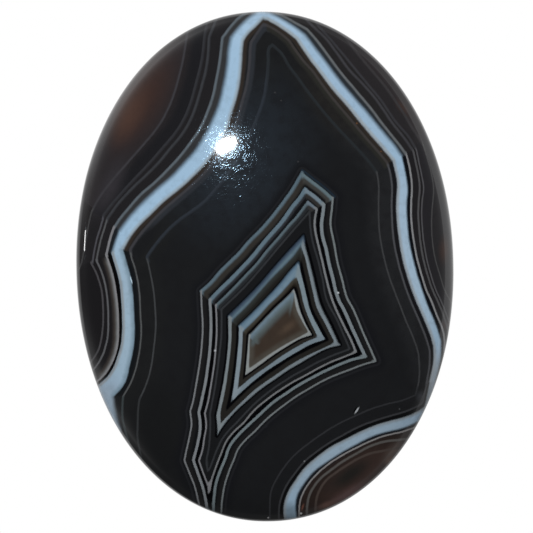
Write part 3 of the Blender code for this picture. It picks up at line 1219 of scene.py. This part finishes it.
# %% Outermost ring of the eye
face = lay(face, "eye_line_1", [
    ("everywhere", (22, 23, 26), -0.70, 0.0, 0.90, 0.08),
    ("everywhere", (31, 32, 35), -0.38, -0.22, 0.08, 0.08),
    ("eye top", (31, 41, 51), -0.20, 0.05, 0.10, 0.08),
    ("everywhere", (18, 19, 21), -0.04, FAR, 0.08, 0.08),
    ("everywhere", (27, 27, 28), 0.05, 0.40, 0.10, 0.20),
    ("eye upper left", (49, 47, 44), 0.05, 0.60, 0.10, 0.30),
    ("eye top", (60, 60, 58), 0.05, 0.57, 0.10, 0.25),
    ("eye upper left", (87, 105, 116), -0.07, 0.18, 0.12, 0.24),
    ("eye top", (94, 111, 118), 0.03, 0.27, 0.12, 0.20),
    ("eye right", (112, 119, 121), -0.03, 0.12, 0.08, 0.08),
    ("eye bottom", (108, 114, 116), -0.055, 0.075, 0.08, 0.08),
    ("eye left", (116, 119, 122), -0.045, 0.08, 0.08, 0.08),
])
tell(look, "the outermost ring")

# %% Its second and brightest ring
face = lay(face, "eye_line_2", [
    ("everywhere", JET, 0.10, 0.42, 0.10, 0.12),
    ("eye upper left", (44, 46, 50), 0.10, 0.38, 0.10, 0.20),
    ("eye top", (48, 47, 46), 0.10, 0.52, 0.10, 0.20),
    ("eye upper left", (94, 113, 125), -0.12, 0.18, 0.08, 0.16),
    ("eye top", (108, 123, 134), -0.055, 0.235, 0.10, 0.16),
    ("eye right", (118, 127, 132), -0.065, 0.185, 0.08, 0.08),
    ("eye bottom", (108, 119, 123), -0.09, 0.115, 0.08, 0.08),
    ("eye left", (122, 127, 131), -0.085, 0.12, 0.08, 0.08),
])
tell(look, "the brightest ring")

# %% Its third ring, and a very faint fourth
face = lay(face, "eye_line_3", [
    ("everywhere", (24, 25, 27), 0.10, FAR, 0.10, 0.12),
    ("eye upper left", (40, 43, 46), 0.08, 0.40, 0.10, 0.24),
    ("eye top", (51, 51, 51), 0.08, 0.46, 0.10, 0.20),
    ("eye upper left", (86, 101, 109), -0.05, 0.15, 0.08, 0.20),
    ("eye top", (100, 112, 123), -0.055, 0.15, 0.10, 0.16),
    ("eye right", (117, 120, 123), -0.045, 0.115, 0.08, 0.08),
    ("eye bottom", (112, 114, 116), -0.065, 0.065, 0.08, 0.08),
    ("eye left", (120, 121, 125), -0.055, 0.07, 0.08, 0.08),
])
face = lay(face, "eye_line_4", [("everywhere", (49, 51, 54), -0.04, 0.10, 0.08, 0.10)])
tell(look, "the four rings")


# %% A ribbon is a band between two growth lines
def ribbon(below, outer, inner, layers):
    """Lays bands that begin at one growth line and end at the next one.

    Each layer gives its flank, its colour, the depths inside the outer and the inner line where it
    starts and ends, and how soft each end is, all in millimetres.
    """
    for where, tint, start, end, start_softness, end_softness in layers:
        still_outside = calc("SUBTRACT", 1.0, band(inner, end, FAR, end_softness))
        mask = calc("MULTIPLY", band(outer, start, FAR, start_softness), still_outside)
        below = over(below, colour(*tint), calc("MULTIPLY", mask, FLANKS[where]))
    return below


print(f"the eye's flanks: {[name for name in FLANKS if name.startswith('eye')]}")

# %% The first ribbon, with black before it and brown behind it
face = lay(face, "eye_band_1_outer", [("everywhere", JET, -0.14, FAR, 0.10, 0.10)])
face = lay(face, "eye_band_1_inner", [
    ("everywhere", (34, 33, 31), 0.0, 0.36, 0.10, 0.14),
    ("eye upper left", (32, 31, 29), 0.0, 0.76, 0.10, 0.40),
    ("eye upper left", (50, 54, 53), 0.0, 0.32, 0.10, 0.50),
])
face = ribbon(face, "eye_band_1_outer", "eye_band_1_inner", [
    ("eye upper left", (66, 82, 99), 0.02, 0.04, 0.28, 0.24),
    ("eye upper left", (92, 113, 125), 0.24, 0.04, 0.26, 0.24),
    ("eye right", (119, 130, 137), 0.13, 0.05, 0.20, 0.10),
    ("eye bottom", (113, 123, 129), 0.01, 0.0, 0.14, 0.10),
    ("eye left", (121, 130, 134), 0.03, -0.01, 0.10, 0.10),
])
tell(look, "the first ribbon")

# %% The second ribbon
face = lay(face, "eye_band_2_outer", [("everywhere", JET, -0.14, FAR, 0.10, 0.10)])
face = lay(face, "eye_band_2_inner", [
    ("everywhere", (40, 38, 35), 0.0, 0.28, 0.10, 0.14),
    ("eye upper left", (36, 31, 25), 0.0, 0.44, 0.10, 0.30),
    ("eye upper left", (64, 62, 56), 0.0, 0.24, 0.10, 0.30),
])
face = ribbon(face, "eye_band_2_outer", "eye_band_2_inner", [
    ("eye upper left", (93, 117, 136), 0.01, 0.0, 0.26, 0.20),
    ("eye upper left", (108, 131, 147), 0.22, 0.0, 0.24, 0.24),
    ("eye right", (120, 135, 143), 0.045, 0.05, 0.10, 0.10),
    ("eye bottom", (113, 127, 136), 0.015, -0.015, 0.10, 0.10),
    ("eye left", (127, 140, 149), 0.02, -0.02, 0.10, 0.10),
])
tell(look, "the second ribbon")

# %% The brown core
face = lay(face, "core_outer", [
    ("everywhere", JET, -0.12, FAR, 0.10, 0.10),
    ("everywhere", (72, 68, 62), 0.06, FAR, 0.10, 0.10),
])
face = lay(face, "core_inner", [("everywhere", (58, 49, 42), 0.34, FAR, 0.44, 0.10)])
face = dab(face, [((74, 62, 52), 288, 327, 17, 6, 35)])
face = lay(face, "core_outer", [
    ("eye upper left", (84, 95, 97), 0.14, 0.80, 0.20, 0.60),
    ("eye upper left", (107, 127, 141), 0.12, 0.38, 0.20, 0.50),
])
face = ribbon(face, "core_outer", "core_inner", [
    ("eye right", (139, 146, 148), 0.035, 0.0, 0.10, 0.12),
    ("eye bottom", (134, 139, 139), 0.02, 0.0, 0.10, 0.12),
    ("eye left", (138, 144, 145), 0.035, -0.02, 0.10, 0.12),
])
tell(look, "the brown core")

# %% [markdown]
# ## Small marks
#
# A polished stone is never quite clean. Healed cracks, specks of iron and pinholes with polishing dust
# in them show as short strokes and dots, most of them no longer than half a millimetre. The white dot on
# a ring of the eye and the white-blue stroke beside the white band are painted glints: a pinhole and a
# scratch that catch the lamp, laid into the colour. Carving the marks would change the smooth solid for
# something that only the colour shows, so they are dabs as well.

# %% Marks, each with its colour, its middle, its half sizes, its turn and how soft it is
face = dab(face, [
    ((4, 4, 5), 355.2, 409.2, 5.4, 1.2, 56, 0.4),
    ((160, 164, 168), 356.6, 410.1, 5.4, 1.2, 56, 0.3),
    ((74, 75, 78), 399.3, 408.7, 1.4, 1.2, 0, 0.0),
    ((130, 132, 134), 304.5, 460.8, 1.3, 1.2, 0, 0.0),
    ((190, 190, 190), 301.0, 513.3, 1.6, 1.4, 0, 0.3),
    ((180, 180, 182), 268.3, 517.6, 1.3, 1.5, 0, 0.0),
    # Painted glint: a pinhole on a ring of the eye that catches the lamp, laid in as a white dot.
    ((190, 196, 200), 337.9, 292.7, 1.6, 1.4, 0, 0.2),
    ((180, 184, 188), 215.3, 350.3, 1.6, 1.5, 0, 0.2),
    ((105, 72, 48), 356.6, 123.7, 1.5, 1.2, 0, 0.0),
    ((96, 68, 48), 380.7, 151.7, 1.4, 1.2, 0, 0.0),
    ((62, 62, 64), 275.0, 93.0, 1.5, 1.2, 0, 0.0),
    ((58, 58, 60), 281.0, 101.0, 1.4, 1.2, 0, 0.0),
    ((60, 60, 62), 298.0, 162.0, 1.4, 1.2, 0, 0.0),
    ((50, 52, 56), 420.0, 396.0, 8.0, 6.0, 75, 0.0),
    ((20, 24, 28), 134.0, 280.0, 5.2, 1.5, -73, 0.4),
    # Painted glint: the white-blue edge of a scratch beside the white band, where it catches the lamp.
    ((190, 214, 230), 131.6, 280.0, 5.4, 0.8, -76, 0.3),
    ((100, 66, 56), 302.6, 507.0, 5.4, 1.6, 72, 0.2),
    ((78, 88, 90), 253.5, 341.5, 8.0, 4.5, 62, 0.0),
])
tell(look, "the small marks")

# %% A faint cloudiness in everything
VEIL_SIZE = 0.0005
veil = calc("MULTIPLY", calc("SUBTRACT", noise(VEIL_SIZE, 5.0), 0.48), 0.5)
face = over(face, colour(20, 21, 23), calc("MAXIMUM", veil, 0.0))
look.links.new(face, surface.inputs["Base Color"])
tell(look, "the colours")

# %% [markdown]
# ## The polish
#
# The polished skin is a clear coat, as smooth as glass. Just below it the chalcedony is a felt of fibres
# finer than a hair, which scatter the lamp into a bluish, speckled glow round its clear reflection. The
# fibres lie in loose patches and follow the layers a little. Along the borders of the whitest bands the
# skin has small pits instead. All of this only turns the light, so it is bump: the stone itself stays
# smooth, and the shader makes the glow from the lamp wherever the lamp stands.

# %% Fibres under the polish and pits along the borders: sizes and reliefs in metres
FIBRE_SIZE = 0.00021
FIBRE_RELIEF = 0.0000076
LAYERS_PER_FIBRE = 1.6
PATCH_SIZE = 0.0007
PIT_SIZE = 0.00014
PIT_RELIEF = 0.0000110


def fibre_pattern():
    """A noise that changes faster across the growth lines than along them."""
    depth = calc("MULTIPLY", DISTANCES["white_inner"], LAYERS_PER_FIBRE)
    spot = place(look, "ShaderNodeCombineXYZ", {0: ACROSS, 1: ALONG, 2: depth}).outputs[0]
    values = {"Vector": spot, "Scale": 1.0 / (FIBRE_SIZE * MILLIMETRES), "Detail": 1.0}
    return place(look, "ShaderNodeTexNoise", values).outputs["Fac"]


print(f"fibres are {FIBRE_SIZE / PIXEL:.1f} and pits {PIT_SIZE / PIXEL:.1f} pixels of the picture across")

# %% The relief
BORDERS = [("white_inner", 0.0, 0.13), ("inner_line_1", -0.05, 0.07), ("outer_line_1", -0.05, 0.07)]
borders = 0.0
for line, start, end in BORDERS:
    borders = calc("MAXIMUM", band(line, start, end), borders)
pits = calc("MULTIPLY", calc("MULTIPLY", noise(PIT_SIZE, 1.0), borders), PIT_RELIEF)
patches = stretch(look, noise(PATCH_SIZE), 0.32, 0.56, interpolation_type="SMOOTHSTEP")
fibres = calc("MULTIPLY", patches, calc("MULTIPLY_ADD", borders, -FIBRE_RELIEF, FIBRE_RELIEF))
relief = calc("MULTIPLY_ADD", fibre_pattern(), fibres, pits)
skin = place(look, "ShaderNodeBump", {"Strength": 1.0, "Distance": 1.0, "Height": relief})
look.links.new(skin.outputs["Normal"], surface.inputs["Normal"])
tell(look, "the relief")

# %% The clear skin and the glow beneath it
POLISH = {
    "Roughness": 0.08,
    "Specular IOR Level": 0.024,
    "Specular Tint": (0.50, 0.76, 1.0, 1.0),
    "IOR": 1.54,
    "Coat Weight": 1.0,
    "Coat Roughness": 0.03,
    "Coat IOR": 1.54,
}
for name, value in POLISH.items():
    surface.inputs[name].default_value = value
print(f"the polish sets {len(POLISH)} values of the shader")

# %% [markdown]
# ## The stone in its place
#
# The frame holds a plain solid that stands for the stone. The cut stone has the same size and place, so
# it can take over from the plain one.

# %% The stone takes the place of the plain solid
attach(stone, "root")
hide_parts("cabochon")
print(f"{stone.name} lies at {tuple(stone.location)}")

# %% [markdown]
# ## A light table
#
# The picture shows the stone from straight above on pure white, without a shadow. A white light table
# does that. But a glossy stone mirrors everything that stands round it, and its steep rim mirrors the
# table: the rim in the picture is light on the right and upper right, grey close to the stone on the
# left, and dark at the bottom. So the table and the room look white to the camera, and send the stone a
# dimmer light: a broad glow at the right, narrow ones at the upper and lower left, and grey patches that
# reach a little beyond the stone on the side where the rim should be lighter.

# %% Light round the stone, by direction
FAINTEST_LIGHT = 0.035


def glow_towards(tree, out, degrees, amount, sharpness):
    """Light that is strongest in one direction from the stone, counted from the right, anticlockwise."""
    way = (math.cos(math.radians(degrees)), math.sin(math.radians(degrees)), 0.0)
    turn = place(tree, "ShaderNodeVectorMath", {0: out, 1: way}, operation="DOT_PRODUCT")
    nearness = maths(tree, "MULTIPLY_ADD", turn.outputs["Value"], 0.5, 0.5)
    return maths(tree, "MULTIPLY", maths(tree, "POWER", nearness, sharpness), amount)


def glow_round(tree, way, glows):
    """The faintest light and every glow together, whatever the height above the table."""
    level = place(tree, "ShaderNodeVectorMath", {0: way, 1: (1, 1, 0)}, operation="MULTIPLY")
    out = place(tree, "ShaderNodeVectorMath", {0: level.outputs[0]}, operation="NORMALIZE").outputs[0]
    light = FAINTEST_LIGHT
    for degrees, amount, sharpness in glows:
        light = maths(tree, "ADD", light, glow_towards(tree, out, degrees, amount, sharpness))
    return light


def white_for_camera(tree, light):
    """White where the camera looks straight at it, and the given light for everything else."""
    seen = place(tree, "ShaderNodeLightPath").outputs["Is Camera Ray"]
    shades = {0: seen, 6: light, 7: (1, 1, 1, 1)}
    return place(tree, "ShaderNodeMix", shades, data_type="RGBA").outputs[2]


print(f"the faintest light is {FAINTEST_LIGHT} of white")

# %% What the table sends to the stone: glows by degrees, amount and sharpness
TABLE_GLOWS = [(8, 0.75, 8.0), (12, 0.16, 1.0), (134, 1.35, 20.0), (208, 0.45, 60.0)]

# Each patch gives its middle and half its sizes in metres, and its light
GREY_PATCHES = [
    ((-0.0028, 0.0), (0.0176, 0.0214), 0.70),
    ((0.0, 0.0030), (0.0172, 0.0228), 0.85),
    ((0.0012, -0.0022), (0.0168, 0.0212), 0.50),
]
PATCH_EDGE = 0.04


def grey_patch(tree, spot, middle, reach, amount):
    """An oval of light on the table, with a nearly crisp edge."""
    moved = place(tree, "ShaderNodeVectorMath", {0: spot, 1: (*middle, 0.0)}, operation="SUBTRACT")
    scaled = place(tree, "ShaderNodeVectorMath", {0: moved.outputs[0], 1: (*reach, 1.0)}, operation="DIVIDE")
    away = place(tree, "ShaderNodeVectorMath", {0: scaled.outputs[0]}, operation="LENGTH").outputs["Value"]
    return stretch(tree, away, 1.0 - PATCH_EDGE, 1.0 + PATCH_EDGE, amount, 0.0)


def table_glow():
    glow = bpy.data.materials.new("table_glow")
    glow.use_nodes = True
    tree = glow.node_tree
    spot = place(tree, "ShaderNodeTexCoord").outputs["Object"]
    light = glow_round(tree, spot, TABLE_GLOWS)
    for middle, reach, amount in GREY_PATCHES:
        light = maths(tree, "MAXIMUM", light, grey_patch(tree, spot, middle, reach, amount))
    paper = tree.nodes["Principled BSDF"]
    paper.inputs["Base Color"].default_value = (0, 0, 0, 1)
    paper.inputs["Specular IOR Level"].default_value = 0.0
    paper.inputs["Emission Strength"].default_value = 1.0
    tree.links.new(white_for_camera(tree, light), paper.inputs["Emission Color"])
    return glow


glowing_paper = table_glow()
print(f"{glowing_paper.name} has {len(glowing_paper.node_tree.nodes)} nodes")

# %% Light table, a hair lower than the stone's back so that the two faces aren't one
TABLE_DEPTH = 0.00002
HALF_TABLE = 1.5


def light_table():
    sheet = bpy.data.meshes.new("light_table")
    signs = [(-1, -1), (1, -1), (1, 1), (-1, 1)]
    corners = [(HALF_TABLE * right, HALF_TABLE * up, -TABLE_DEPTH) for right, up in signs]
    sheet.from_pydata(corners, [], [(0, 1, 2, 3)])
    sheet.materials.append(glowing_paper)
    table = bpy.data.objects.new("light_table", sheet)
    bpy.context.scene.collection.objects.link(table)
    return table


table = light_table()
print(f"{table.name} is {table.dimensions.x:.1f} m wide")

# %% The room: white where the camera sees it, dim and brightest near the horizon for the stone
ROOM_GLOWS = [(5, 0.30, 8.0), (10, 0.05, 1.0), (134, 1.20, 20.0), (208, 0.40, 60.0)]
DIMMING_UPWARDS = 5.0
CEILING_LIGHT = 0.015


def room_light():
    room = bpy.data.worlds.new("dim_room")
    room.use_nodes = True
    tree = room.node_tree
    way = place(tree, "ShaderNodeTexCoord").outputs["Generated"]
    climb = place(tree, "ShaderNodeSeparateXYZ", {0: way}).outputs["Z"]
    near_horizon = maths(tree, "POWER", stretch(tree, climb, 0.0, 1.0, 1.0, 0.0), DIMMING_UPWARDS)
    light = maths(tree, "MULTIPLY_ADD", glow_round(tree, way, ROOM_GLOWS), near_horizon, CEILING_LIGHT)
    tree.links.new(white_for_camera(tree, light), tree.nodes["Background"].inputs["Color"])
    bpy.context.scene.world = room
    return room


room = room_light()
print(f"{room.name} glows in {len(ROOM_GLOWS)} directions")

# %% [markdown]
# ## Lamps
#
# One small lamp, nearly overhead, gives the spot of light on the dome and most of the light on the
# stone. Another one, tiny and close to the stone on its left, is mirrored as a sliver of light in the
# rim. A white stroke painted there would stay when the stone is turned, and a reflection moves.

# %% Lamps
def lamp(name, direction, distance, across, width, height, radiance, shape="RECTANGLE"):
    """A flat lamp that faces the stone, with its width along the direction called across."""
    data = bpy.data.lights.new(name, "AREA")
    data.shape = shape
    data.size = width
    data.size_y = height
    area = width * height * (math.pi / 4 if shape == "ELLIPSE" else 1.0)
    data.energy = radiance * math.pi * area
    made = bpy.data.objects.new(name, data)
    way = Vector(direction).normalized()
    along = (Vector(across) - way * way.dot(Vector(across))).normalized()
    made.matrix_world = Matrix((along, way.cross(along), way)).transposed().to_4x4()
    made.location = way * distance
    made.visible_camera = False
    bpy.context.scene.collection.objects.link(made)
    print(f"{name} gives {data.energy:.4f} W")
    return made


lamp(
    "overhead_lamp",
    direction=(-0.131, 0.265, 0.955),
    distance=1.0,
    across=(1, 0.2, 0),
    width=0.074,
    height=0.026,
    radiance=2065,
    shape="ELLIPSE",
)
lamp(
    "left_strip",
    direction=(-0.0776, 0.0074, 0.0019),
    distance=0.078,
    across=(0.095, 0.995, 0),
    width=0.0054,
    height=0.0034,
    radiance=16,
)

# %% [markdown]
# ## The camera
#
# The picture shows the oval without perspective, so the camera has a very long lens and looks straight
# down from far away. It is turned by the stone's own turn in the picture, which leaves the stone itself
# straight in its frame. Its height follows from the length of a pixel at the widest part of the stone.

# %% Camera: lens and sensor in millimetres, the picture's side in pixels
LENS = 1000.0
SENSOR = 36.0
PICTURE = 533
FARTHEST_SEEN = 10.0


def camera_above():
    data = bpy.data.cameras.new("camera")
    data.lens = LENS
    data.sensor_width = SENSOR
    data.clip_end = FARTHEST_SEEN
    camera = bpy.data.objects.new("camera", data)
    widest_part = GIRDLE_HEIGHT + BACK_BEVEL
    above = PICTURE * PIXEL * LENS / SENSOR + widest_part
    camera.location = (*on_stone(PICTURE / 2, PICTURE / 2), above)
    camera.rotation_euler = (0, 0, STONE_TURN)
    bpy.context.scene.collection.objects.link(camera)
    return camera


camera = camera_above()
bpy.context.scene.camera = camera
bpy.context.scene.view_settings.view_transform = "Standard"
print(f"the camera looks down from {camera.location.z:.2f} m")
